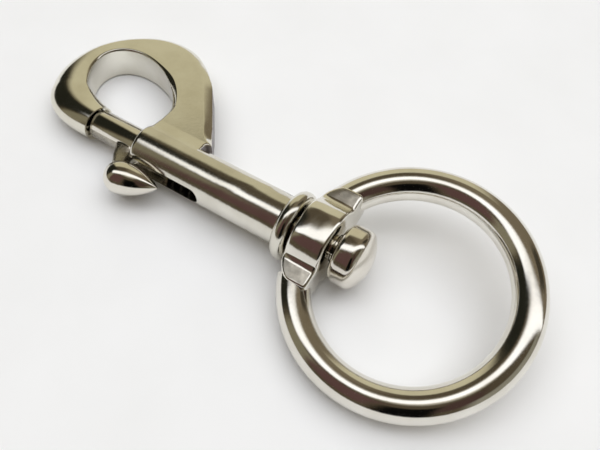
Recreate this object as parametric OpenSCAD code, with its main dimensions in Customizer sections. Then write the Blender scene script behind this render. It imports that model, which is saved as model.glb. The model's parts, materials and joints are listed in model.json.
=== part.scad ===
// Swivel bolt snap hook with a round ring, sizes in millimetres, +Z up.
// It lies on its side as it comes to rest: the barrel runs along X, the ring end towards +X,
// the hook bow on +Y and the thumb knob on -Y. Every node is drawn in a straight frame whose
// origin is the swivel point on the barrel axis, and is then laid down by the modules at the end.

/* [Ring] */
// Clear inside diameter of the ring
ring_id = 25.4; // [16:0.1:50]
// Thickness of the ring wire
ring_wire = 4.6; // [3:0.1:8]

/* [Swivel lug] */
// Diameter of the round lug that the rivet passes through
lug_od = 10.6; // [8:0.1:16]
// Length of the lug along the barrel axis
lug_len = 5.1; // [3:0.1:9]
// Thickness of the flat ears that join the lug to the wire
ear_thick = 4.9; // [3:0.1:8]
// How far from the lug axis the ears reach to each side
ear_reach = 7.6; // [6:0.1:12]

/* [Barrel] */
// Outside diameter of the barrel
barrel_od = 7.3; // [6:0.1:12]
// Length of the barrel from its front face to the bead
barrel_len = 25.15; // [18:0.1:40]
// Bore that the bolt slides in
bore_d = 4.64; // [3:0.01:6]
// Width of the slot that the knob's neck slides in
slot_w = 2.8; // [2:0.1:4]
// Length of the slot from the front face
slot_len = 12.8; // [10:0.1:20]
// Diameter of the bead at the barrel's rear end
bead_od = 10.2; // [7:0.1:13]
// Width of the bead
bead_len = 2.4; // [1:0.05:4]

/* [Hook bow] */
// Long axis of the egg-shaped eye
eye_long = 18.5; // [12:0.1:30]
// Short axis of the eye
eye_short = 12.1; // [8:0.1:20]
// Thickness of the bow's flat plate
bow_thick = 5.5; // [4:0.1:8]
// Diameter of the round nose that the bolt closes on
nose_d = 5.2; // [4:0.1:7]

/* [Bolt] */
// Diameter of the sliding bolt
bolt_d = 4.5; // [3:0.01:6]
// How far the bolt slides back to open the hook
bolt_travel = 12.0; // [8:0.1:16]
// Greatest diameter of the teardrop thumb knob
knob_d = 5.1; // [4:0.1:8]
// Length of the thumb knob
knob_len = 9.1; // [6:0.1:14]
// Thickness of the neck where it runs in the slot
neck_thick = 2.5; // [1.5:0.1:3.8]

/* [Spring] */
// Outside diameter of the return spring
spring_od = 3.7; // [2.5:0.1:5]
// Spring wire diameter
spring_wire = 0.4; // [0.2:0.05:0.8]
// Number of coils
spring_coils = 6; // [4:1:9]

/* [Swivel rivet] */
// Diameter of the rivet head inside the ring
head_d = 8.5; // [6:0.1:12]
// Length of the rivet head along the axis
head_len = 4.8; // [2:0.1:7]
// Shank diameter of the rivet
shank_d = 3.8; // [2.5:0.1:5]
// Free gap between the lug and what it turns against, each side
swivel_gap = 0.5; // [0.2:0.05:1]

/* [Rest pose] */
// How far the barrel slopes down towards the hook, degrees
rest_pitch = 2.92; // [0:0.01:8]
// How far the ring has rolled down on the knob side, degrees
ring_roll = 12.48; // [-30:0.01:30]
// How far the hook has rolled down on the bow side, degrees
hook_roll = 1.49; // [-5:0.01:10]

/* [Hidden] */

$fn = 72;
eps = 0.01;

ring_r = (ring_id + ring_wire) / 2;      // centre line radius of the ring
lug_x0 = -1.05;                          // face of the lug towards the barrel
lug_x1 = lug_x0 + lug_len;               // face of the lug inside the ring
bead_x1 = lug_x0 - swivel_gap;           // bead face towards the lug
bead_x0 = bead_x1 - bead_len;
barrel_x1 = bead_x0 + 0.2;               // the bead laps the barrel end
front_x = barrel_x1 - 0.2 - barrel_len;  // barrel front face
front_round = 0.8;                       // rounding of the barrel's front edge
bore_x = -8;                             // bottom of the bolt bore
slot_x = front_x + slot_len;             // rear end of the slot
ear_fillet = 1.2;                        // hollow between the lug and each ear
ear_top = ear_thick / 2;
ear_fillet_y = sqrt(pow(lug_od / 2 + ear_fillet, 2) - pow(ear_top + ear_fillet, 2));
ear_fillet_a = atan2(ear_top + ear_fillet, ear_fillet_y);
ear_mid = ear_fillet_y;                  // where the hollow runs out on the ear
head_x0 = lug_x1 + swivel_gap;           // rivet head seat
nose_x = front_x - 9.9;                 // face of the nose
bolt_x0 = nose_x + 0.4;                  // front end of the bolt, closed
bolt_x1 = front_x + 5.7;                 // rear end of the bolt, closed
neck_x = front_x - 2.0;                  // middle of the neck, closed
knob_x = front_x + 0.3;                  // middle of the knob's round end, closed
knob_y = -6.6;
knob_tilt = 9.5;                         // knob axis leans towards the barrel at its tail
spring_x0 = bolt_x1 + 0.05;              // spring seats
spring_x1 = bore_x - 0.75;

// ---- hook bow: a loft whose sections run across the bow from the eye to the outside ----
eye_c = [front_x - 7.87, 6.6];           // middle of the eye
eye_turn = 149.6;                        // direction of the eye's long axis
rim_c = [front_x - 9.83, 8.46];          // middle of the outer oval
rim_a = 10.05;
rim_b = 12.0;
rim_turn = 132;
back_a = [front_x + 1.9, 14.37];         // straight back edge of the plate, upper end
back_b = [front_x + 8.06, 6.19];         // and its lower end, just above the foot

// distance from p along angle t to an ellipse centred on c with half axes a, b turned by w
function reach(p, t, c, a, b, w) =
  let (o = p - c, d = [cos(t), sin(t)],
       x0 = (o[0] * cos(w) + o[1] * sin(w)) / a, y0 = (-o[0] * sin(w) + o[1] * cos(w)) / b,
       x1 = (d[0] * cos(w) + d[1] * sin(w)) / a, y1 = (-d[0] * sin(w) + d[1] * cos(w)) / b,
       A = x1 * x1 + y1 * y1, B = 2 * (x0 * x1 + y0 * y1), C = x0 * x0 + y0 * y0 - 1)
  (-B + sqrt(B * B - 4 * A * C)) / (2 * A);
// distance from p along angle t to the line through a and b
function reach_line(p, t, a, b) =
  let (n = [-(b - a)[1], (b - a)[0]]) ((a - p) * n) / ([cos(t), sin(t)] * n);
function at(p, t, r) = p + r * [cos(t), sin(t)];
function mix(a, b, u) = a + (b - a) * u;
function smooth(u) = let (v = min(1, max(0, u))) v * v * (3 - 2 * v);
function ramp(t, a, b, v0, v1) = mix(v0, v1, smooth((t - a) / (b - a)));
function bez(a, b, c, u) = (1 - u) * (1 - u) * a + 2 * u * (1 - u) * b + u * u * c;

function eye_pt(t) = at(eye_c, t, reach(eye_c, t, eye_c, eye_long / 2, eye_short / 2, eye_turn));
function rim_pt(t) =
  let (r = reach(eye_c, t, rim_c, rim_a, rim_b, rim_turn))
  at(eye_c, t, t > 65 ? r : ramp(t, 35, 65, reach_line(eye_c, t, back_a, back_b) + 0.12, r));

// Stations run from the root in the barrel, up the plate, over the top and down to the nose.
// Each is [eye-side point, outer point, half thickness,
//          outer edge rounding across and through the plate, the same for the eye edge,
//          how flat the outer edge is cut and how flat the eye edge is: 1 is round, 2 a bevel].
n_bow = 32;
n_nose = 7;
function bow_station(i) =
  let (t = 202 * i / n_bow, a = eye_pt(t), b = rim_pt(t), w = norm(b - a),
       h = ramp(t, 110, 200, bow_thick / 2, 2.5))
  [a, b, h,
   ramp(t, 75, 180, 1.3, 0.62 * w), ramp(t, 75, 180, 0.84, 0.97) * h,
   ramp(t, 40, 90, 0.95, 0.35), ramp(t, 40, 90, 0.62, 0.35),
   ramp(t, 60, 110, 1.8, 1), ramp(t, 50, 100, 1.8, 1)];
back_d = (back_b - back_a) / norm(back_b - back_a);
foot = back_b + 0.75 * back_d;           // lower end of the back edge
// [height above the barrel axis, outer end, half thickness] of the root, from the barrel up
root = [[0.4, foot[0] - 1.1, 3.5], [2.3, foot[0] - 1.1, 3.3], [3.0, foot[0] - 1.05, 2.98],
        [3.7, foot[0] - 0.95, 2.8], [4.4, foot[0] - 0.75, bow_thick / 2],
        [foot[1] - 0.45, foot[0] - 0.05, bow_thick / 2], [foot[1], foot[0], bow_thick / 2]];
function root_station(r) =
  let (u = smooth((r[0] - 3) / 2))
  [[front_x + 0.12, r[0]], [r[1], r[0]], r[2], 1.2, 0.8 * r[2], mix(0.8, 0.95, u), mix(0.8, 0.62, u),
   mix(1, 1.8, u), mix(1, 1.8, u)];
nose_end = [[nose_x + 1.45, bolt_d / 2 + 0.35], [nose_x, -nose_d / 2 - 0.1], nose_d / 2];
function nose_station(i) =
  let (u = i / n_nose, s = bow_station(n_bow),
       a = bez(s[0], [s[0][0] + 1.8, nose_end[0][1] + 0.35], nose_end[0], u),
       b = bez(s[1], [s[1][0] + 1.9, nose_end[1][1] - 0.5], nose_end[1], u),
       w = norm(b - a), h = mix(s[2], nose_end[2], u))
  [a, b, h, mix(0.62, 0.49, u) * w, 0.97 * h, mix(0.35, 0.49 * w, u), mix(0.35, 0.97 * h, u), 1, 1];
stations = concat(
  [for (r = root) root_station(r)],
  [for (i = [1:n_bow]) bow_station(i)],
  [for (i = [1:n_nose]) nose_station(i)]);

n_cor = 5;
n_sec = 4 * n_cor;
function section(s) =
  let (w = norm(s[1] - s[0]), d = (s[1] - s[0]) / w, h = s[2], f = [for (k = [0:n_cor - 1]) 90 * k / (n_cor - 1)],
       c = [for (a = f) pow(cos(a), s[7])], g = [for (a = f) pow(sin(a), s[7])],
       m = [for (a = f) pow(cos(a), s[8])], n = [for (a = f) pow(sin(a), s[8])], o = [0:n_cor - 1],
       q = concat([for (k = o) [w - s[3] * (1 - c[k]), h - s[4] * (1 - g[k])]],
                  [for (k = o) [s[5] * (1 - n[k]), h - s[6] * (1 - m[k])]],
                  [for (k = o) [s[5] * (1 - m[k]), -h + s[6] * (1 - n[k])]],
                  [for (k = o) [w - s[3] * (1 - g[k]), -h + s[4] * (1 - c[k])]]))
  [for (p = q) [s[0][0] + d[0] * p[0], s[0][1] + d[1] * p[0], p[1]]];

module bow() {
  m = len(stations);
  pts = [for (s = stations) each section(s)];
  sides = [for (i = [0:m - 2]) for (k = [0:n_sec - 1])
    let (a = i * n_sec + k, b = i * n_sec + (k + 1) % n_sec) each [[a, b, b + n_sec], [a, b + n_sec, a + n_sec]]];
  ends = [[for (k = [n_sec - 1:-1:0]) k], [for (k = [0:n_sec - 1]) (m - 1) * n_sec + k]];
  polyhedron(points = pts, faces = concat(sides, ends), convexity = 6);
}

// cylinder along X from x0 to x1
module rod(x0, x1, r) { translate([x0, 0, 0]) rotate([0, 90, 0]) cylinder(h = x1 - x0, r = r); }

// ---- nodes, in the straight frame ----
module hook_body_straight() {
  difference() {
    union() {
      rod(front_x + front_round, barrel_x1, barrel_od / 2);
      translate([front_x, 0, 0]) rotate([0, 90, 0]) rotate_extrude() {
        square([barrel_od / 2 - front_round, front_round + eps]);
        intersection() {
          translate([barrel_od / 2 - front_round, front_round]) circle(r = front_round, $fn = 48);
          square([barrel_od / 2, front_round]);
        }
      }
      // rounded bead at the rear
      translate([(bead_x0 + bead_x1) / 2, 0, 0]) rotate([0, 90, 0]) rotate_extrude()
        difference() {
          union() {
            translate([0, -bead_len / 2]) square([bead_od / 2 - 1.0, bead_len]);
            translate([bead_od / 2 - bead_len / 2, 0]) circle(r = bead_len / 2);
          }
          translate([-5, -bead_len]) square([5, 2 * bead_len]);
        }
      bow();
    }
    rod(front_x - 1, bore_x, bore_d / 2);
    // round seat in the nose that the bolt's end sits in, under a thin lip on the eye side
    rod(nose_x, front_x, bolt_d / 2 + 0.14);
    rod(bore_x - 1, bead_x1 + 1, shank_d / 2);
    // slot through the knob side, round at its rear end
    translate([0, -barrel_od / 2, 0]) rotate([90, 0, 0]) linear_extrude(height = barrel_od, center = true) {
      translate([front_x - 1, -slot_w / 2]) square([slot_len + 1 - slot_w / 2, slot_w]);
      translate([slot_x - slot_w / 2, 0]) circle(d = slot_w);
    }
  }
}

module bolt_straight() {
  // the rod, bevelled where it meets the nose
  rod(bolt_x0 + 0.3, bolt_x1, bolt_d / 2);
  translate([bolt_x0, 0, 0]) rotate([0, 90, 0]) cylinder(h = 0.3, r1 = bolt_d / 2 - 0.3, r2 = bolt_d / 2);
  // waisted neck out through the slot
  linear_extrude(height = neck_thick, center = true) difference() {
    polygon([[neck_x - 2.0, -0.9], [neck_x - 2.0, -1.6], [neck_x - 1.2, -2.9], [neck_x + 0.25, -5.4],
             [knob_x, knob_y], [neck_x + 3.0, -4.5], [neck_x + 3.0, -0.9]]);
    translate([neck_x - 2.55, -3.0]) circle(r = 1.45);
    translate([neck_x + 2.55, -3.0]) circle(r = 1.45);
    translate([neck_x + 2.55, -3.0]) square([2, 1.45]);
  }
  // teardrop thumb knob, blunt end to the front
  translate([knob_x, knob_y, 0]) rotate([0, 0, knob_tilt]) rotate([0, 90, 0]) knob();
}

// turned about Z, blunt end down, tail up
module knob() {
  r = knob_d / 2;
  tail = knob_len - r;
  big = (tail * tail + r * r) / (2 * r);
  rotate_extrude() intersection() {
    union() {
      intersection() { circle(r = r); translate([0, -r]) square([r, r + eps]); }
      intersection() { translate([r - big, 0]) circle(r = big, $fn = 180); square([r, tail - 0.35]); }
    }
    translate([0, -2 * r]) square([2 * r, 4 * knob_len]);
  }
}

// helical wire along X between the two seats
module spring_straight() {
  r = (spring_od - spring_wire) / 2;
  len_x = spring_x1 - spring_x0 - spring_wire;
  seg = 14;
  n = spring_coils * seg;
  k_n = 6;
  pts = [for (i = [0:n]) for (k = [0:k_n - 1])
    let (a = 360 * i / seg, b = 360 * k / k_n, q = r + spring_wire / 2 * cos(b))
    [spring_x0 + spring_wire / 2 + len_x * i / n + spring_wire / 2 * sin(b), q * cos(a), q * sin(a)]];
  sides = [for (i = [0:n - 1]) for (k = [0:k_n - 1])
    let (a = i * k_n + k, b = i * k_n + (k + 1) % k_n) each [[a, b, b + k_n], [a, b + k_n, a + k_n]]];
  ends = [[for (k = [k_n - 1:-1:0]) k], [for (k = [0:k_n - 1]) n * k_n + k]];
  polyhedron(points = pts, faces = concat(sides, ends), convexity = 8);
}

module ring_straight() {
  difference() {
    union() {
      // ring wire, flattened on the barrel side of the lug
      difference() {
        translate([ring_r, 0, 0]) rotate_extrude($fn = 120) translate([ring_r, 0]) circle(d = ring_wire, $fn = 48);
        translate([lug_x0 - 10, -20, -10]) cube([10, 40, 20]);
      }
      rod(lug_x0, lug_x1, lug_od / 2);
      // flat ears to both sides, cut back along the ring's curve, and hollowed into the lug
      linear_extrude(height = ear_thick, center = true)
        for (e = [1, -1]) scale([1, e])
          polygon([[lug_x0, 0], [lug_x0, 4.8], [lug_x0 + 0.3, 5.8], [lug_x0 + 1.0, 6.8], [lug_x0 + 2.0, ear_reach],
                   [lug_x1 - 0.15, ear_reach], [lug_x1, ear_reach - 0.3], [lug_x1, 0]]);
      for (e = [1, -1], g = [1, -1]) scale([1, e, g]) translate([lug_x0 + 0.1, 0, 0]) rotate([90, 0, 90])
        linear_extrude(height = lug_len - 0.2)
          polygon(concat([[ear_mid, 0], [ear_fillet_y * lug_od / (lug_od + 2 * ear_fillet), 0]],
            [for (k = [0:5]) let (a = ear_fillet_a + (90 - ear_fillet_a) * k / 5)
              [ear_mid - ear_fillet * cos(a), ear_top + ear_fillet * (1 - sin(a))]]));
    }
    rod(lug_x0 - 3, lug_x1 + 1, shank_d / 2 + 0.1);
  }
}

module swivel_rivet_straight() {
  rod(bore_x, head_x0 + eps, shank_d / 2);
  // peened end inside the bore
  rod(bore_x - 0.7, bore_x, shank_d / 2 + 0.1);
  // head with a rounded rim and a low dome
  translate([head_x0, 0, 0]) rotate([0, 90, 0]) rotate_extrude() intersection() {
    union() {
      square([head_d / 2 - 0.7, head_len - 0.6]);
      translate([0, 0.7]) square([head_d / 2, head_len - 2.1]);
      translate([head_d / 2 - 0.7, 0.7]) circle(r = 0.7, $fn = 36);
      translate([head_d / 2 - 0.9, head_len - 1.5]) circle(r = 0.9, $fn = 36);
      translate([0, head_len - 13]) circle(r = 13, $fn = 180);
    }
    square([head_d / 2, head_len]);
  }
}

// ---- laying the parts down ----
lift = 5.341;      // height of the swivel point above the surface
shift_x = 8.876;    // puts the origin under the middle of the whole part
shift_y = -1.128;
module laid() { translate([shift_x, shift_y, lift]) rotate([0, -rest_pitch, 0]) children(); }

module hook_body() { color("silver") laid() rotate([-hook_roll, 0, 0]) hook_body_straight(); }
module bolt() { color("gainsboro") laid() rotate([-hook_roll, 0, 0]) bolt_straight(); }
module spring() { color("dimgray") laid() rotate([-hook_roll, 0, 0]) spring_straight(); }
module ring() { color("silver") laid() rotate([ring_roll, 0, 0]) ring_straight(); }
module swivel_rivet() { color("gainsboro") laid() rotate([-hook_roll, 0, 0]) swivel_rivet_straight(); }

hook_body();
bolt();
spring();
ring();
swivel_rivet();
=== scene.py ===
import json
import math
import bpy
import bmesh
from mathutils import Matrix, Vector


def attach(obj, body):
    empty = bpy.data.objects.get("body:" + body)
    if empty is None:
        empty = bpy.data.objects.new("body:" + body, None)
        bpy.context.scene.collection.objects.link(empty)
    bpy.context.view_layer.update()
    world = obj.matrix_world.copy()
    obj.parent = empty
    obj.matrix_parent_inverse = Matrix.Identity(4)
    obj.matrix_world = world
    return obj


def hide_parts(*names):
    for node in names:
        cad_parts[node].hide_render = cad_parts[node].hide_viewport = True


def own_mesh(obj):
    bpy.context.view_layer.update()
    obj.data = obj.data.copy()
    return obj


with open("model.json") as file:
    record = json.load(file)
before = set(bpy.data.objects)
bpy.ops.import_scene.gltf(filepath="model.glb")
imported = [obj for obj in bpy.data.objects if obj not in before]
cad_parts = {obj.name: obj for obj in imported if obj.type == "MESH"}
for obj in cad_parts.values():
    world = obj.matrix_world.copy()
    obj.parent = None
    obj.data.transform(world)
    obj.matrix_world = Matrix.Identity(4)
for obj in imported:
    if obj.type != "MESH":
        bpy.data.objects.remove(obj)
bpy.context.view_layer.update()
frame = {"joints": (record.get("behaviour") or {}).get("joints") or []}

# ---------------------------------------------------------------- swivel ring
# One casting: a round ring of 4.6 mm wire whose ends run into two flat ground ears and a thick
# round lug, which the swivel rivet passes through. Sizes are in millimetres along the barrel (x),
# across it (y) and up (z) from the swivel point, before the part is laid down.
ring_radius, wire_radius = 15.0, 2.3
wire_start = math.radians(24)  # how far round the ring each wire end starts, hidden in its ear
lug_back, lug_front, lug_radius, lug_bore = -1.05, 4.05, 5.3, 2.0
dressed_top, dressed_crown, dressed_blend = 5.02, 30, 60  # the lug's top is dressed flatter
ear_half, ear_reach, ear_round, hollow_radius = 2.45, 7.6, 0.35, 1.2
sweep_start, sweep_width, sweep_depth = 4.6, 3.02, 2.05  # the back of each ear sweeps forward
ground_start = 5.35  # the ears are ground flat from here out
ring_roll, hook_roll = 12.48, -1.49

swivel = next(j for j in frame["joints"] if j["name"] == "ring_swivel")
barrel_slope = math.asin(swivel["axis"][2])
rest_place = Matrix.Translation(swivel["pos_m"]) @ Matrix.Rotation(-barrel_slope, 4, "Y")


def lay_down(bm, roll):
    """Turns all faces outward, and puts a piece drawn in millimetres where it lies at rest,
    rolled by some degrees round the barrel's axis."""
    bmesh.ops.recalc_face_normals(bm, faces=bm.faces)
    turn = Matrix.Rotation(math.radians(roll), 4, "X") @ Matrix.Scale(0.001, 4)
    bmesh.ops.transform(bm, matrix=rest_place @ turn, verts=bm.verts)


def add_piece(bm, name, body, node, slot, *metals, crease=40):
    """Makes the finished piece, shaded smooth up to the crease angle, and joins it to its body."""
    mesh = bpy.data.meshes.new(name)
    bm.to_mesh(mesh)
    bm.free()
    piece = bpy.data.objects.new(name, mesh)
    bpy.context.scene.collection.objects.link(piece)
    mesh.shade_smooth()
    mesh.set_sharp_from_angle(angle=math.radians(crease))
    for metal in metals:
        mesh.materials.append(metal)
    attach(piece, body)
    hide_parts(node)
    return piece


def close_ends(bm):
    """Fills every open end."""
    bmesh.ops.holes_fill(bm, edges=[e for e in bm.edges if e.is_boundary], sides=0)


def first_loop(bm, place, points):
    """Starts a loft: a closed loop whose points are numbered in the layer place."""
    row = [bm.verts.new(p) for p in points]
    for k, v in enumerate(row):
        v[place] = k
    return [bm.edges.new(pair) for pair in zip(row, row[1:] + row[:1])]


def draw_on(bm, place, edges, points):
    """Extrudes the loop once more and moves each point to its own place in points."""
    made = bmesh.ops.extrude_edge_only(bm, edges=edges)["geom"]
    row = {g for g in made if isinstance(g, bmesh.types.BMVert)}
    for v in row:
        v.co = points[v[place]]
    new_edges = [g for g in made if isinstance(g, bmesh.types.BMEdge)]
    return [e for e in new_edges if all(v in row for v in e.verts)]


def mix(a, b, share):
    return a + (b - a) * share


def polar(radius, angle):
    return Vector((radius * math.cos(angle), radius * math.sin(angle)))


def hex_colour(text):
    """sRGB hex to linear colour."""
    parts = [int(text[i:i + 2], 16) / 255 for i in (1, 3, 5)]
    return [*(p / 12.92 if p <= 0.04045 else ((p + 0.055) / 1.055) ** 2.4 for p in parts), 1]


def add(tree, kind, options=None, **inputs):
    """Adds a node. Options are its own settings; inputs are its sockets, each given a value or
    another node's output, by name with _ for a space, or by place as i0, i1."""
    node = tree.nodes.new(kind)
    for key, value in (options or {}).items():
        setattr(node, key, value)
    for key, value in inputs.items():
        place = int(key[1:]) if key[0] == "i" and key[1:].isdigit() else key.replace("_", " ")
        if isinstance(value, bpy.types.NodeSocket):
            tree.links.new(value, node.inputs[place])
        else:
            node.inputs[place].default_value = value
    return node


def bare_material(name):
    """A material with an empty node tree."""
    material = bpy.data.materials.new(name)
    material.use_nodes = True
    material.node_tree.nodes.clear()
    return material, material.node_tree


def plated_casting(name, bright, dull, rough, ripple, pit):
    """Nickel plate over a tumbled casting: a mirror that a slow ripple bends, with fine pits where
    the casting's skin shows through, and slightly uneven tone and gloss. A pit over 1 makes the
    pits that many times deeper."""
    metal, tree = bare_material(name)
    ripples, pits, patches = 330, 3500, 160  # waves 3 mm long, pits 0.3 mm, patches 6 mm
    where = add(tree, "ShaderNodeTexCoord").outputs["Object"]
    slow = add(tree, "ShaderNodeTexNoise", Vector=where, Scale=ripples, Detail=2, Roughness=0.5)
    fine = add(tree, "ShaderNodeTexNoise", Vector=where, Scale=pits, Detail=3, Roughness=0.6)
    patch = add(tree, "ShaderNodeTexNoise", Vector=where, Scale=patches, Detail=3, Roughness=0.55)
    tone = add(tree, "ShaderNodeMapRange", Value=patch.outputs["Fac"], From_Min=0.35, From_Max=0.68)
    colour = add(tree, "ShaderNodeMix", {"data_type": "RGBA"}, i0=tone.outputs["Result"],
                 i6=hex_colour(bright), i7=hex_colour(dull))
    gloss = add(tree, "ShaderNodeMapRange", Value=fine.outputs["Fac"], From_Min=0.3, From_Max=0.75,
                To_Min=rough * 0.75, To_Max=rough * 1.5)
    waves = add(tree, "ShaderNodeBump", Strength=ripple, Distance=0.00004,
                Height=slow.outputs["Fac"])
    pitted = add(tree, "ShaderNodeBump", Strength=min(pit, 1), Distance=0.00001 * max(pit, 1),
                 Height=fine.outputs["Fac"], Normal=waves.outputs["Normal"])
    skin = add(tree, "ShaderNodeBsdfPrincipled", Base_Color=colour.outputs[2], Metallic=1.0,
               Roughness=gloss.outputs["Result"], Normal=pitted.outputs["Normal"])
    add(tree, "ShaderNodeOutputMaterial", Surface=skin.outputs["BSDF"])
    return metal


def ground_casting(name, tint, rough, run):
    """The same nickel over a face dressed on a grinding belt, with scratches that run one way and
    spread each reflection into soft streaks. Real scratches are finer: these are drawn 0.25 mm
    apart so that they show."""
    metal, tree = bare_material(name)
    scratches, blotches = 4000, 900  # 0.25 mm apart, and uneven patches 1 mm across
    bright = hex_colour(tint)
    dark = [c * 0.72 for c in bright[:3]] + [1]
    where = add(tree, "ShaderNodeTexCoord").outputs["Object"]
    along = add(tree, "ShaderNodeMapping", Vector=where, Rotation=(0, 0, math.radians(-run)),
                Scale=(0.1, 1, 1))
    scratch = add(tree, "ShaderNodeTexNoise", Vector=along.outputs["Vector"], Scale=scratches,
                  Detail=3, Roughness=0.6)
    blotch = add(tree, "ShaderNodeTexNoise", Vector=where, Scale=blotches, Detail=3, Roughness=0.6)
    tone = add(tree, "ShaderNodeMapRange", Value=blotch.outputs["Fac"], From_Min=0.35, From_Max=0.65)
    colour = add(tree, "ShaderNodeMix", {"data_type": "RGBA"}, i0=tone.outputs["Result"],
                 i6=bright, i7=dark)
    gloss = add(tree, "ShaderNodeMapRange", Value=blotch.outputs["Fac"], From_Min=0.3, From_Max=0.7,
                To_Min=rough * 0.8, To_Max=rough * 1.25)
    lines = add(tree, "ShaderNodeBump", Strength=0.5, Distance=0.00002,
                Height=scratch.outputs["Fac"])
    skin = add(tree, "ShaderNodeBsdfPrincipled", Base_Color=colour.outputs[2], Metallic=1.0,
               Roughness=gloss.outputs["Result"], Normal=lines.outputs["Normal"])
    add(tree, "ShaderNodeOutputMaterial", Surface=skin.outputs["BSDF"])
    return metal


# the brightest and smoothest skin of the five pieces, and the ears' matt ground faces
ring_plate = plated_casting("nickel_plated_ring", "#eae7df", "#dedad0", 0.1, 0.25, 0.25)
ring_ground = ground_casting("ground_nickel_ears", "#d6d1c5", 0.33, 0)

bm = bmesh.new()
place = bm.verts.layers.int.new("place")
# the wire, from inside one ear round to the other
wire = bmesh.ops.create_circle(bm, segments=64, radius=wire_radius)["verts"]
stand = (Matrix.Translation((ring_radius, 0, 0)) @ Matrix.Rotation(math.pi - wire_start, 4, "Z")
         @ Matrix.Translation((ring_radius, 0, 0)) @ Matrix.Rotation(math.pi / 2, 4, "X"))
bmesh.ops.transform(bm, matrix=stand, verts=wire)
loop = {e for v in wire for e in v.link_edges}
bmesh.ops.spin(bm, geom=[*wire, *loop], cent=(ring_radius, 0, 0), axis=(0, 0, -1),
               angle=math.tau - 2 * wire_start, steps=220)
close_ends(bm)


def lug_outline(eased):
    """The lug and its ears seen along the barrel: round, a hollow on each side, and flat ends.
    Points are (across, up), drawn in all round by how much the edge is eased."""
    r, half, tip = lug_radius - eased, ear_half - eased, ear_reach - eased
    rise = half + hollow_radius
    hollow = Vector((math.sqrt((r + hollow_radius) ** 2 - rise ** 2), rise))
    meet = math.atan2(hollow.y, hollow.x)
    corner = Vector((tip - ear_round, half - ear_round))
    quarter = [polar(r, mix(math.pi / 2, meet, k / 18)) for k in range(19)]
    for p in quarter:
        dressed = dressed_top - eased - p.x ** 2 / dressed_crown
        p.y = (p.y ** -dressed_blend + dressed ** -dressed_blend) ** (-1 / dressed_blend)
    turns = [mix(math.pi + meet, 1.5 * math.pi, k / 9) for k in range(1, 10)]
    quarter += [hollow + polar(hollow_radius, turn) for turn in turns]
    quarter += [Vector((mix(hollow.x, corner.x, k / 4), half)) for k in range(1, 4)]
    quarter += [corner + polar(ear_round, math.pi / 2 * (1 - k / 5)) for k in range(6)]
    quarter += [Vector((tip, 0.5 * corner.y)), Vector((tip, 0))]
    lower = [Vector((p.x, -p.y)) for p in reversed(quarter[:-1])]
    return quarter + lower + [-p for p in quarter[1:]] + [-p for p in lower[:-1]]


def back_at(across):
    """The back of the lug is flat, and sweeps forward along each ear."""
    return lug_back + sweep_depth * (max(0, abs(across) - sweep_start) / sweep_width) ** 2


def lug_row(outline, x_at):
    return [Vector((x_at(p.x), p.x, p.y)) for p in outline]


# the lug and ears: loops from the bore out over the back, along the sides, and in to the bore
# again. An edge's rounding is (how far in along the barrel, how far its outline is eased).
back_rounding = ((0, 0.5), (0.06, 0.3), (0.17, 0.15), (0.32, 0.05), (0.5, 0))
front_rounding = ((0.45, 0), (0.28, 0.05), (0.13, 0.14), (0.04, 0.27), (0, 0.42))
bore = [polar(lug_bore, math.atan2(p.y, p.x)) for p in lug_outline(0)]
back_rim = lug_outline(back_rounding[0][1])
rows = [lug_row([b.lerp(p, share) for b, p in zip(bore, back_rim)], back_at)
        for share in (0, 0.2, 0.4, 0.6, 0.8)]
rows += [lug_row(lug_outline(eased), lambda y: back_at(y) + inset) for inset, eased in back_rounding]
rows += [lug_row(lug_outline(0), lambda y: mix(back_at(y), lug_front, share)) for share in (0.35, 0.6)]
rows += [lug_row(lug_outline(eased), lambda y: lug_front - inset) for inset, eased in front_rounding]
rows += [lug_row([p * 1.06 for p in bore], lambda y: lug_front),
         lug_row(bore, lambda y: lug_front - 0.12), rows[0]]
edges = first_loop(bm, place, rows[0])
for row in rows[1:]:
    edges = draw_on(bm, place, edges, row)
bmesh.ops.remove_doubles(bm, verts=bm.verts, dist=0.0005)
for face in bm.faces:
    middle = face.calc_center_median()
    on_ear = ground_start < abs(middle.y) < ear_reach - ear_round
    if on_ear and abs(middle.z) > ear_half - 0.01:
        face.material_index = 1
lay_down(bm, ring_roll)
add_piece(bm, "swivel_ring", "ring", "ring", "ring_metal", ring_plate, ring_ground)

# ---------------------------------------------------------------- swivel rivet
# A turned rivet holds the ring: its shank runs through the lug into the back of the barrel,
# and its thick round head with a low dome turns against the lug inside the ring.
head_radius, head_seat, head_end, head_rounding, head_dome = 4.25, 4.75, 9.35, 1.3, 0.9
shank_radius, shank_end = 1.9, -8.6
pin_hole = 0.02  # a turned outline stops this near its axis, and the end is filled
# turned and polished: a clear mirror, a little darker than the ring
rivet_plate = plated_casting("nickel_plated_rivet", "#e6e2d9", "#d6d0c4", 0.1, 0.3, 0.3)


def lathe(bm, outline, steps, axis=(1, 0, 0), centre=(0, 0, 0)):
    """Turns an outline of (along, out) points round an axis through centre."""
    along = Vector(axis).normalized()
    out = along.orthogonal().normalized()
    row = [bm.verts.new(Vector(centre) + along * a + out * r) for a, r in outline]
    edges = [bm.edges.new(pair) for pair in zip(row, row[1:])]
    bmesh.ops.spin(bm, geom=row + edges, cent=centre, axis=along, angle=math.tau,
                   steps=steps, use_merge=True, use_duplicate=False)


bm = bmesh.new()
turns = [math.radians(7 * k) for k in range(10)]
rim = [(head_end - head_dome + head_rounding * (math.sin(a) - 1),
        head_radius + head_rounding * (math.cos(a) - 1)) for a in turns]
rim_end, rim_radius = rim[-1]
dome = [(mix(rim_end, head_end, 1 - (k / 10) ** 2), rim_radius * k / 10) for k in range(9, 0, -1)]
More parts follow.
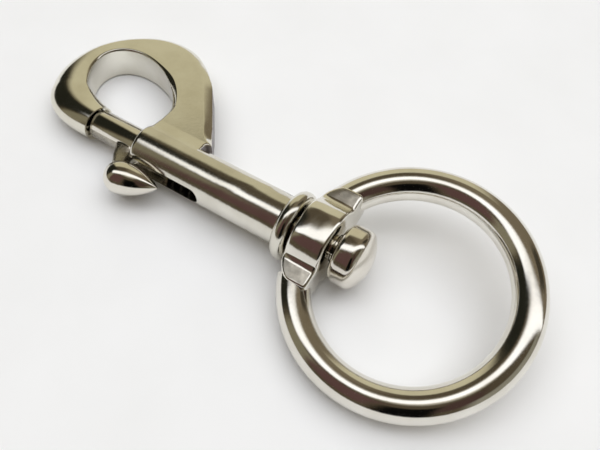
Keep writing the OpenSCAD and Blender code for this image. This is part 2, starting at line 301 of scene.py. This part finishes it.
# the shank has a slightly wider, peened end
shank = [(shank_end, pin_hole), (shank_end, 1.9), (-8.4, 2.0), (-8.0, 2.0), (-8.0, shank_radius),
         (head_seat, shank_radius)]
seat = [(head_seat, head_radius - 0.9), (head_seat + 0.08, head_radius - 0.55),
        (head_seat + 0.3, head_radius - 0.22), (head_seat + 0.6, head_radius - 0.05),
        (head_seat + 0.95, head_radius)]
lathe(bm, [*shank, *seat, *rim, *dome, (head_end, pin_hole)], 96)
close_ends(bm)
lay_down(bm, hook_roll)
add_piece(bm, "swivel_rivet_head", "hook", "swivel_rivet", "rivet_metal", rivet_plate)

# ---------------------------------------------------------------- hook body
# One casting: the hook's flat bow round its egg-shaped eye, the round nose that the bolt
# closes on, the barrel with its knob slot, and the bead that the ring's lug turns against.
barrel_radius, bore_radius, barrel_front, barrel_back = 3.65, 2.32, -29.1, -3.6
front_round, mouth_chamfer = 0.8, 0.22
slot_half, slot_end, slot_edge_round = 1.4, -17.7, 0.16  # the slot ends in an arc round slot_end
# a mirror on the bow, greyish belt scratches on its back edge, and on the barrel a tumbled skin
# that breaks the long highlight into grains
hook_plate = plated_casting("nickel_plated_hook", "#e8e5da", "#dbd7c9", 0.11, 0.3, 0.35)
hook_ground = ground_casting("ground_nickel_parting", "#8d8789", 0.36, -53)
barrel_plate = plated_casting("tumbled_nickel_barrel", "#e2dfd5", "#d2cec2", 0.12, 0.3, 0.6)
bm = bmesh.new()
place = bm.verts.layers.int.new("place")

# the barrel is drawn as a flat sheet round the slot's outline, rolled up, and given its bore
around = math.pi * barrel_radius
slot_wide = barrel_radius * math.asin(slot_half / barrel_radius)
side_steps, arc_steps, crowding = 44, 24, 1.6
shares = [(k / side_steps) ** crowding for k in range(side_steps)]
inner = [(mix(barrel_front, slot_end, share), slot_wide) for share in shares]
outer = [(x, around) for x, _ in inner]
for k in range(arc_steps // 2 + 1):
    turn = math.pi / 2 * (1 - 2 * k / arc_steps)
    inner.append((slot_end + slot_half * math.cos(turn),
                  barrel_radius * math.asin(slot_half / barrel_radius * math.sin(turn))))
    reach = min(around / max(math.sin(turn), 1e-6), (barrel_back - slot_end) / max(math.cos(turn), 1e-6))
    outer.append((slot_end + reach * math.cos(turn), reach * math.sin(turn)))
chains = []
for points in (inner, outer):
    points += [(x, -a) for x, a in reversed(points[:-1])]
    row = [bm.verts.new((x, a, 0)) for x, a in points]
    chains.append([bm.edges.new(pair) for pair in zip(row, row[1:])])
rungs = bmesh.ops.bridge_loops(bm, edges=chains[0] + chains[1])["edges"]
bmesh.ops.subdivide_edges(bm, edges=rungs, cuts=40, use_grid_fill=True)
sheet = list(bm.verts)
lining = bmesh.ops.duplicate(bm, geom=[*bm.verts, *bm.edges, *bm.faces])["geom"]
lining = [g for g in lining if isinstance(g, bmesh.types.BMVert)]
narrow, wide = slot_wide / barrel_radius, math.asin(slot_half / bore_radius)


def skin_radius(x):
    """The barrel's outside, straight up to its rounded front end."""
    into = max(0, barrel_front + front_round - x)
    return barrel_radius - front_round + math.sqrt(max(0, front_round ** 2 - into ** 2))


def lining_radius(x):
    """The bore, with a small chamfer at its mouth."""
    return bore_radius + max(0, mouth_chamfer - (x - barrel_front))


for v in sheet:
    angle, radius = v.co.y / barrel_radius, skin_radius(v.co.x)
    v.co = (v.co.x, -radius * math.cos(angle), radius * math.sin(angle))
for v in lining:
    turned, radius = abs(v.co.y) / barrel_radius, lining_radius(v.co.x)
    if turned < narrow:
        angle = turned * wide / narrow
    else:
        angle = wide + (turned - narrow) * (math.pi - wide) / (math.pi - narrow)
    angle = math.copysign(angle, v.co.y)
    v.co = (v.co.x, -radius * math.cos(angle), radius * math.sin(angle))
bmesh.ops.remove_doubles(bm, verts=bm.verts, dist=0.0005)
slot_x = slot_end + slot_half + 0.1
mouth = [e for e in bm.edges if e.is_boundary and min(v.co.x for v in e.verts) < slot_x]
bmesh.ops.bridge_loops(bm, edges=mouth)
bmesh.ops.bridge_loops(bm, edges=[e for e in bm.edges if e.is_boundary])
skin_least = 2.8  # all of the barrel's skin lies further out than this, and none of its bore
rim = [e for e in mouth if e.is_valid and max(v.co.x for v in e.verts) > barrel_front + 0.001
       and all(math.hypot(v.co.y, v.co.z) > skin_least for v in e.verts)]
bmesh.ops.bevel(bm, geom=rim, offset=slot_edge_round, segments=3, affect="EDGES", profile=0.5,
                material=-1)

# the bead, turned on to the barrel's end
lathe(bm, [(-4.1, 3.0), (-4.02, 3.6), (-3.9, 4.02), (-3.72, 4.46), (-3.42, 4.85), (-3.05, 5.05),
           (-2.7, 5.1), (-2.4, 5.08), (-2.05, 4.95), (-1.78, 4.7), (-1.62, 4.36), (-1.55, 3.9),
           (-1.55, 1.95), (-4.1, 1.95), (-4.1, 3.0)], 120)

for face in bm.faces:
    face.material_index = 2

# the bow: sections across the plate, swept from its root up, over the top and down to the nose.
# The eye and the bow's rim are ovals, each with a middle, half axes and the long one's heading.
eye_centre, eye_long, eye_short, eye_turn = Vector((-36.97, 6.6)), 9.25, 6.05, 149.6
rim_centre, rim_long, rim_short, rim_turn = Vector((-38.93, 8.46)), 10.05, 12.0, 132
back_high, back_low = Vector((-27.2, 14.37)), Vector((-21.04, 6.19))
plate_half, plate_thin, fillet = 2.75, 2.5, 5
nose_face, nose_radius, seat_radius, seat_floor = -38.1, 2.6, 2.39, 0.3
bow_end = 202  # degrees round the eye, where the bow turns in to the nose
chamfer, rounded = 1.8, 1  # how flat an edge is cut


def ease(u):
    u = min(1, max(0, u))
    return u * u * (3 - 2 * u)


def ramp(t, low, high, before, after):
    return mix(before, after, ease((t - low) / (high - low)))


def reach_oval(t, centre, along, across, turn):
    """How far it is from the eye's middle to an oval, in direction t."""
    w = Matrix.Rotation(math.radians(-turn), 2)
    o, d = w @ (eye_centre - centre), w @ Vector((math.cos(t), math.sin(t)))
    o, d = Vector((o.x / along, o.y / across)), Vector((d.x / along, d.y / across))
    a, b, c = d.dot(d), 2 * o.dot(d), o.dot(o) - 1
    return (-b + math.sqrt(b * b - 4 * a * c)) / (2 * a)


def reach_back(t):
    """The same to the plate's straight back edge."""
    n = Vector((back_low.y - back_high.y, back_high.x - back_low.x))
    return (back_high - eye_centre).dot(n) / Vector((math.cos(t), math.sin(t))).dot(n)


# A station is its eye-side point, its outer point, the half thickness, how far the outer edge is
# rounded across and through the plate, the same for the eye edge, and how flat each edge is cut.
def bow_station(deg):
    t = math.radians(deg)
    d = Vector((math.cos(t), math.sin(t)))
    a = eye_centre + d * reach_oval(t, eye_centre, eye_long, eye_short, eye_turn)
    rim = reach_oval(t, rim_centre, rim_long, rim_short, rim_turn)
    if deg <= 65:
        rim = ramp(deg, 35, 65, reach_back(t) + 0.12, rim)
    b = eye_centre + d * rim
    w, h = (b - a).length, ramp(deg, 110, 200, plate_half, plate_thin)
    out_w = ramp(deg, 75, 180, ramp(deg, 38, 60, 1.4, 1.25), 0.62 * w)
    out_h = ramp(deg, 75, 150, 0.8, 0.97 * h)
    in_w, in_h = ramp(deg, 40, 90, 0.7, 0.35), ramp(deg, 40, 90, 0.6, 0.35)
    out_flat, in_flat = ramp(deg, 60, 110, chamfer, rounded), ramp(deg, 50, 100, chamfer, rounded)
    return a, b, h, out_w, out_h, in_w, in_h, out_flat, in_flat


def root_height(y):
    """The barrel's own curve, let into the plate's flat by a wide fillet. It starts just under
    the barrel's skin and leaves it just above."""
    reach, rise = barrel_radius + fillet, plate_half + fillet
    middle = math.sqrt(reach ** 2 - rise ** 2)
    if y > middle:
        return plate_half
    if y > middle * barrel_radius / reach:
        return rise - math.sqrt(fillet ** 2 - (middle - y) ** 2)
    return math.sqrt(barrel_radius ** 2 - y * y) + 0.04 * (y - 1.25)


root_setback = 0.12  # the root's front stands this far behind the barrel's front face


def root_station(y, out):
    u = ease((y - 3) / 2)
    small = ramp(y, 3.3, 4.8, 0.25, 1)
    flat = mix(rounded, chamfer, u)
    a, b = Vector((barrel_front + root_setback, y)), Vector((out, y))
    return a, b, root_height(y), 1.4 * small, 0.8 * small, mix(0.8, 0.7, u), mix(0.8, 0.6, u), flat, flat


def nose_station(u):
    a, b, h = bow_station(bow_end)[:3]
    tip, chin = Vector((nose_face + 0.55, nose_radius)), Vector((nose_face, -nose_radius - 0.1))
    a = (1 - u) ** 2 * a + 2 * u * (1 - u) * Vector((a.x + 1.8, tip.y + 0.35)) + u * u * tip
    b = (1 - u) ** 2 * b + 2 * u * (1 - u) * Vector((b.x + 1.9, chin.y - 0.5)) + u * u * chin
    w, h = (b - a).length, mix(h, nose_radius, u)
    in_w, in_h = mix(0.35, 0.49 * w, u), mix(0.35, 0.97 * h, u)
    return a, b, h, mix(0.62, 0.49, u) * w, 0.97 * h, in_w, in_h, rounded, rounded


corner = 10  # points round each corner of a section
hidden_radius = 2.7  # the root's points stay this far out, clear of the bore


def section_point(station, k):
    """Point k of a section: a rounded rectangle with its own corners at the eye and outside."""
    a, b, h, out_w, out_h, in_w, in_h, out_flat, in_flat = station
    w, f = (b - a).length, math.radians(90) * (k % corner) / (corner - 1)
    side = k // corner
    flat = out_flat if side in (0, 3) else in_flat
    s, c = math.sin(f) ** flat, max(0, math.cos(f)) ** flat
    upper_out = (w - out_w * (1 - c), h - out_h * (1 - s))
    upper_eye = (in_w * (1 - s), h - in_h * (1 - c))
    lower_eye = (in_w * (1 - c), in_h * (1 - s) - h)
    lower_out = (w - out_w * (1 - s), out_h * (1 - c) - h)
    across, up = (upper_out, upper_eye, lower_eye, lower_out)[side]
    p = a + (b - a) / w * across
    floor = math.sqrt(max(0, hidden_radius ** 2 - up * up))
    return Vector((p.x, max(p.y, floor) if p.x > barrel_front else p.y, up))


def section(station):
    """All of a section, with a support point beside each corner that keeps the flats flat."""
    arcs = [[section_point(station, corner * side + k) for k in range(corner)] for side in range(4)]
    loop = []
    for before, arc, after in zip(arcs[-1:] + arcs, arcs, arcs[1:] + arcs[:1]):
        for end, away in ((arc[0], before[-1]), (arc[-1], after[0])):
            flat = end.lerp(away, min(0.45, 0.12 / max(0.001, (away - end).length)))
            loop += [flat, *arc] if end is arc[0] else [flat]
    return loop


# the root, as (height above the barrel's axis, how far its outer end is past the foot's point):
# it turns in under the foot, and runs up the back edge from there. Known fault: the root's front
# and back are flat between their points, so each stands across the bore as a thin wall, from
# 0.9 mm above the axis, and the bolt cuts through both.
foot = back_low + 2.8 * (back_low - back_high).normalized()
root_line = [(0.9, -0.25), (1.6, -0.5), (1.9, -0.58), (2.2, -0.65), (2.45, -0.7), (2.7, -0.74),
             (3.0, -0.76), (3.2, -0.72), (3.35, -0.65), (3.48, -0.54), (3.6, -0.41), (3.7, -0.27),
             (3.8, -0.13), (3.88, -0.05), (foot.y, 0), (4.3, -0.26), (4.8, -0.64), (5.4, -1.09),
             (6.1, -1.62)]
stations = [root_station(y, foot.x + out) for y, out in root_line]
stations += [bow_station(2 * k) for k in range(1, bow_end // 2 + 1)]
stations += [nose_station(k / 24) for k in range(1, 25)]
sections = [section(station) for station in stations]
root = sections[0]
start = first_loop(bm, place, root)
edges = start
for row in sections[1:]:
    edges = draw_on(bm, place, edges, row)
# the seat in the nose: over the rim, down its wall and across its floor
nose_end = sections[-1]
for depth, radius in ((0, 2.5), (0.03, 2.41), (1, seat_radius), (1, seat_floor)):
    ways = [Vector((p.y, p.z)).normalized() * radius for p in nose_end]
    row = [Vector((mix(p.x, nose_face, depth), w.x, w.y)) for p, w in zip(nose_end, ways)]
    edges = draw_on(bm, place, edges, row)
bmesh.ops.holes_fill(bm, edges=edges, sides=0)
# the root closes on itself inside the barrel's wall, all but its flat front and back
edges = start
for share in (0.8, 0.6, 0.4, 0.2, 0):
    depths = [math.sqrt(hidden_radius ** 2 - min(hidden_radius, abs(p.z * share)) ** 2) for p in root]
    edges = draw_on(bm, place, edges, [Vector((p.x, y, p.z * share)) for p, y in zip(root, depths)])
bmesh.ops.remove_doubles(bm, verts=bm.verts, dist=0.0005)
# the plate's back edge was dressed along the casting's parting line: this is all of a section
# from its lower outer corner up to where the upper one starts
lower_corner, upper_corner = 3 * (corner + 2), 2
for face in bm.faces:
    ends = {v[place] for v in face.verts}
    on_edge = all(k < upper_corner or k >= lower_corner for k in ends)
    if face.material_index == 0 and on_edge and face.calc_center_median().x > -29:
        face.material_index = 1
lay_down(bm, hook_roll)
add_piece(bm, "hook_casting", "hook", "hook_body", "hook_metal", hook_plate, hook_ground, barrel_plate)

# ---------------------------------------------------------------- return spring
# A small coil spring of drawn steel wire, 0.4 mm thick and wound to fit the bore. It stands
# between the rivet's end and the bolt, and pushes the bolt shut.
spring_front, spring_back, coil_radius, spring_wire, coils = -23.3, -8.8, 1.65, 0.2, 9
# bare drawn wire, dull and grey beside the plated castings; its colour is also darkened as painted shade,
# standing for the dark inside of the bore where it lies
shaded_spring_steel = plated_casting("drawn_spring_wire_painted_shade", "#5d5c59", "#474644", 0.35, 0.1, 0.3)
bm = bmesh.new()
wire = bmesh.ops.create_circle(bm, segments=10, radius=spring_wire)["verts"]
for axis in ("Y", "Z"):
    quarter_turn = Matrix.Rotation(math.pi / 2, 3, axis)
    bmesh.ops.rotate(bm, verts=wire, cent=(0, 0, 0), matrix=quarter_turn)
bmesh.ops.translate(bm, verts=wire, vec=(spring_front + spring_wire, 0, coil_radius))
loop = {e for v in wire for e in v.link_edges}
steps = coils * 32
rise = (spring_back - spring_front - 2 * spring_wire) / steps
bmesh.ops.spin(bm, geom=[*wire, *loop], cent=(0, 0, 0), axis=(1, 0, 0), angle=math.tau * coils,
               steps=steps, dvec=(rise, 0, 0))
close_ends(bm)
lay_down(bm, hook_roll)
spring = add_piece(bm, "return_spring", "hook", "spring", "spring_wire", shaded_spring_steel)
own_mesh(spring)

# ---------------------------------------------------------------- bolt with its thumb knob
# One casting: a 4.5 mm rod that slides in the barrel and closes on the nose, a rough waisted
# neck out through the slot, and a polished teardrop knob for the thumb.
bolt_front, bolt_back, bolt_radius = -37.75, -23.4, 2.25
knob_centre, knob_radius, knob_tail = Vector((-28.0, -6.38, 0)), 2.42, 5.9
knob_tilt = math.radians(13)
# a mirror on the rod and knob, and a neck as it left the mould, dark with glints
bolt_plate = plated_casting("nickel_plated_bolt", "#e6e2d8", "#d6d0c4", 0.1, 0.35, 0.35)
neck_rough = plated_casting("cast_nickel_neck", "#c4beb0", "#6a6458", 0.28, 1, 6)
bm = bmesh.new()
place = bm.verts.layers.int.new("place")
lathe(bm, [(bolt_front, pin_hole), (bolt_front, bolt_radius - 0.3), (bolt_front + 0.1, bolt_radius - 0.1),
           (bolt_front + 0.3, bolt_radius), (bolt_back - 0.2, bolt_radius),
           (bolt_back, bolt_radius - 0.2), (bolt_back, pin_hole)], 96)
# the neck: sections from inside the rod down into the knob, each at a height (y), with its middle
# along the barrel, its half length and its half thickness
neck = [(-1.0, -30.9, 2.7, 1.5), (-1.7, -30.9, 2.2, 1.3), (-2.1, -30.8, 1.8, 1.24),
        (-2.6, -30.65, 1.5, 1.16), (-3.1, -30.5, 1.38, 1.12), (-3.6, -30.3, 1.34, 1.15),
        (-4.1, -30.0, 1.34, 1.25), (-4.7, -29.45, 1.4, 1.45), (-5.3, -28.9, 1.5, 1.6)]
neck_top = -2.1
squareness = 0.75  # 1 is round


def squared(value):
    return math.copysign(abs(value) ** squareness, value)


turns = [math.tau * k / 40 for k in range(40)]
rows = [[Vector((x + half * squared(math.cos(a)), y, thick * squared(math.sin(a)))) for a in turns]
        for y, x, half, thick in neck]
edges = first_loop(bm, place, rows[0])
for row in rows[1:]:
    edges = draw_on(bm, place, edges, row)
close_ends(bm)
for face in bm.faces:
    if face.calc_center_median().y < neck_top:
        face.material_index = 1
# the knob: a round front end and a drawn-out tail
tail_curve = (knob_tail ** 2 + knob_radius ** 2) / (2 * knob_radius)
turns = [math.radians(90 * k / 20) for k in range(1, 20)]
front = [(-knob_radius * math.cos(a), knob_radius * math.sin(a)) for a in turns]
tail = [(z, knob_radius - tail_curve + math.sqrt(tail_curve ** 2 - z * z))
        for z in [knob_tail * 0.97 * k / 28 for k in range(29)]]
tip = [(knob_tail * 0.985, 0.1), (knob_tail * 0.99, pin_hole)]
lean = (math.cos(knob_tilt), math.sin(knob_tilt), 0)
lathe(bm, [(-knob_radius, pin_hole), *front, *tail, *tip], 72, lean, knob_centre)
close_ends(bm)
lay_down(bm, hook_roll)
add_piece(bm, "bolt_and_knob", "bolt", "bolt", "bolt_metal", bolt_plate, neck_rough)

# ---------------------------------------------------------------- table, light and camera
# The hook lies on a plain pale table of coated paper, in a room whose walls and softbox are
# painted in the world, because polished nickel shows little but what stands round it.
# matt and faintly mottled, so that it shows soft shadows and no highlight
paper, tree = bare_material("pale_table")
where = add(tree, "ShaderNodeTexCoord").outputs["Object"]
mottle = add(tree, "ShaderNodeTexNoise", Vector=where, Scale=60, Detail=3, Roughness=0.5)
tint = add(tree, "ShaderNodeMix", {"data_type": "RGBA"}, i0=mottle.outputs["Fac"],
           i6=hex_colour("#f4f3f1"), i7=hex_colour("#ecebe8"))
skin = add(tree, "ShaderNodeBsdfPrincipled", Base_Color=tint.outputs[2], Roughness=0.7)
add(tree, "ShaderNodeOutputMaterial", Surface=skin.outputs["BSDF"])
bm = bmesh.new()
bmesh.ops.create_grid(bm, x_segments=2, y_segments=2, size=0.5)
mesh = bpy.data.meshes.new("table")
bm.to_mesh(mesh)
bm.free()
mesh.materials.append(paper)
table = bpy.data.objects.new("table", mesh)
bpy.context.scene.collection.objects.link(table)

# a wide soft fill from above and behind that no metal reflects, so that it only lights the table
fill = bpy.data.lights.new("fill", "AREA")
fill.size, fill.energy, fill.specular_factor = 1.5, 12, 0
fill.color = hex_colour("#f4f8ff")[:3]
light = bpy.data.objects.new("fill", fill)
light.matrix_world = Matrix.Translation((0, 0.2, 0.9))
light.visible_glossy = False
bpy.context.scene.collection.objects.link(light)

# each wall of the room is (heading, half-width of its full colour, half-width where it has faded,
# lowest and highest degrees, colour), and a soft glow stands straight overhead
walls = ((75, 30, 55, -8, 72, "#796e5b"),
         (122, 22, 36, -8, 40, "#cdc6a9"),
         (181, 19, 30, 6, 56, "#24241d"),
         (222, 7, 15, -8, 44, "#847e6a"),
         (252, 11, 24, 22, 58, "#5d4643"),
         (293, 11, 21, -4, 48, "#0a0a09"),
         (323, 8, 18, 28, 58, "#4a3934"),
         (357, 18, 34, -8, 24, "#8f8c7f"),
         (54, 6, 14, 20, 44, "#423c31"))
ceiling, glow, wall_foot, table_top = "#544b3c", "#dcd6c6", "#3a362d", "#f0efec"
fade = math.radians(9)
strip_heading, strip_offset, strip_core, strip_edge = math.radians(28), 0.03, 0.09, 0.24
strip_light = (1.35, 1.35, 1.37, 1)
world = bpy.data.worlds.new("room")
bpy.context.scene.world = world
world.use_nodes = True
tree = world.node_tree
tree.nodes.clear()
way = add(tree, "ShaderNodeTexCoord").outputs["Generated"]
up = add(tree, "ShaderNodeSeparateXYZ", Vector=way).outputs["Z"]
height = add(tree, "ShaderNodeMath", {"operation": "ARCSINE"}, i0=up).outputs[0]
level = add(tree, "ShaderNodeVectorMath", {"operation": "MULTIPLY"}, i0=way, i1=(1, 1, 0)).outputs[0]
level = add(tree, "ShaderNodeVectorMath", {"operation": "NORMALIZE"}, i0=level).outputs[0]


def soft_step(value, start, end, before=0, after=1):
    return add(tree, "ShaderNodeMapRange", {"interpolation_type": "SMOOTHSTEP"}, Value=value,
               From_Min=start, From_Max=end, To_Min=before, To_Max=after).outputs["Result"]


def calc(operation, a, b):
    return add(tree, "ShaderNodeMath", {"operation": operation}, i0=a, i1=b).outputs[0]


def toward(direction, vector):
    """How far a direction points along a vector."""
    return add(tree, "ShaderNodeVectorMath", {"operation": "DOT_PRODUCT"}, i0=direction,
               i1=vector).outputs["Value"]


def paint(under, share, tint):
    return add(tree, "ShaderNodeMix", {"data_type": "RGBA"}, i0=share, i6=under, i7=tint).outputs[2]


overhead = soft_step(height, math.radians(66), math.radians(84))
colour = paint(hex_colour(ceiling), overhead, hex_colour(glow))
for heading, core, edge, low, high, tint in walls:
    h = math.radians(heading)
    facing = toward(level, (math.cos(h), math.sin(h), 0))
    beside = soft_step(facing, math.cos(math.radians(edge)), math.cos(math.radians(core)))
    middle, half = math.radians((low + high) / 2), math.radians((high - low) / 2)
    off = calc("ABSOLUTE", calc("SUBTRACT", height, middle), 0)
    colour = paint(colour, calc("MULTIPLY", beside, soft_step(off, half, half + fade, 1, 0)),
                   hex_colour(tint))
# the dark foot of the walls, and the table running on to them
near_floor = soft_step(height, math.radians(-3), math.radians(5), 1, 0)
colour = paint(colour, near_floor, hex_colour(wall_foot))
below = soft_step(height, math.radians(-0.5), math.radians(4), 1, 0)
colour = paint(colour, below, hex_colour(table_top))
# the softbox: one long strip overhead that runs off to the right, with soft edges
h = strip_heading
along = calc("DIVIDE", toward(way, (math.cos(h), math.sin(h), 0)), up)
across = calc("DIVIDE", toward(way, (-math.sin(h), math.cos(h), -strip_offset)), up)
lit = calc("MULTIPLY", soft_step(calc("ABSOLUTE", across, 0), strip_core, strip_edge, 1, 0),
           soft_step(along, -1.05, -0.7))
lit = calc("MULTIPLY", lit, soft_step(up, 0.08, 0.16))
colour = paint(colour, lit, strip_light)
backdrop = add(tree, "ShaderNodeBackground", Color=colour, Strength=1.0)
add(tree, "ShaderNodeOutputWorld", Surface=backdrop.outputs["Background"])
bpy.context.scene.view_settings.view_transform = "Standard"

lens = bpy.data.cameras.new("camera")
lens.lens, lens.sensor_width = 42, 36
lens.clip_start, lens.clip_end = 0.005, 5
camera = bpy.data.objects.new("camera", lens)
stand, aim = Vector((0.03214, -0.0470, 0.08451)), Vector((0.00673, -0.00038, 0.005))
tilt = math.radians(4.96)
look = (aim - stand).to_track_quat("-Z", "Y").to_matrix().to_4x4()
camera.matrix_world = Matrix.Translation(stand) @ look @ Matrix.Rotation(tilt, 4, "Z")
bpy.context.scene.collection.objects.link(camera)
bpy.context.scene.camera = camera
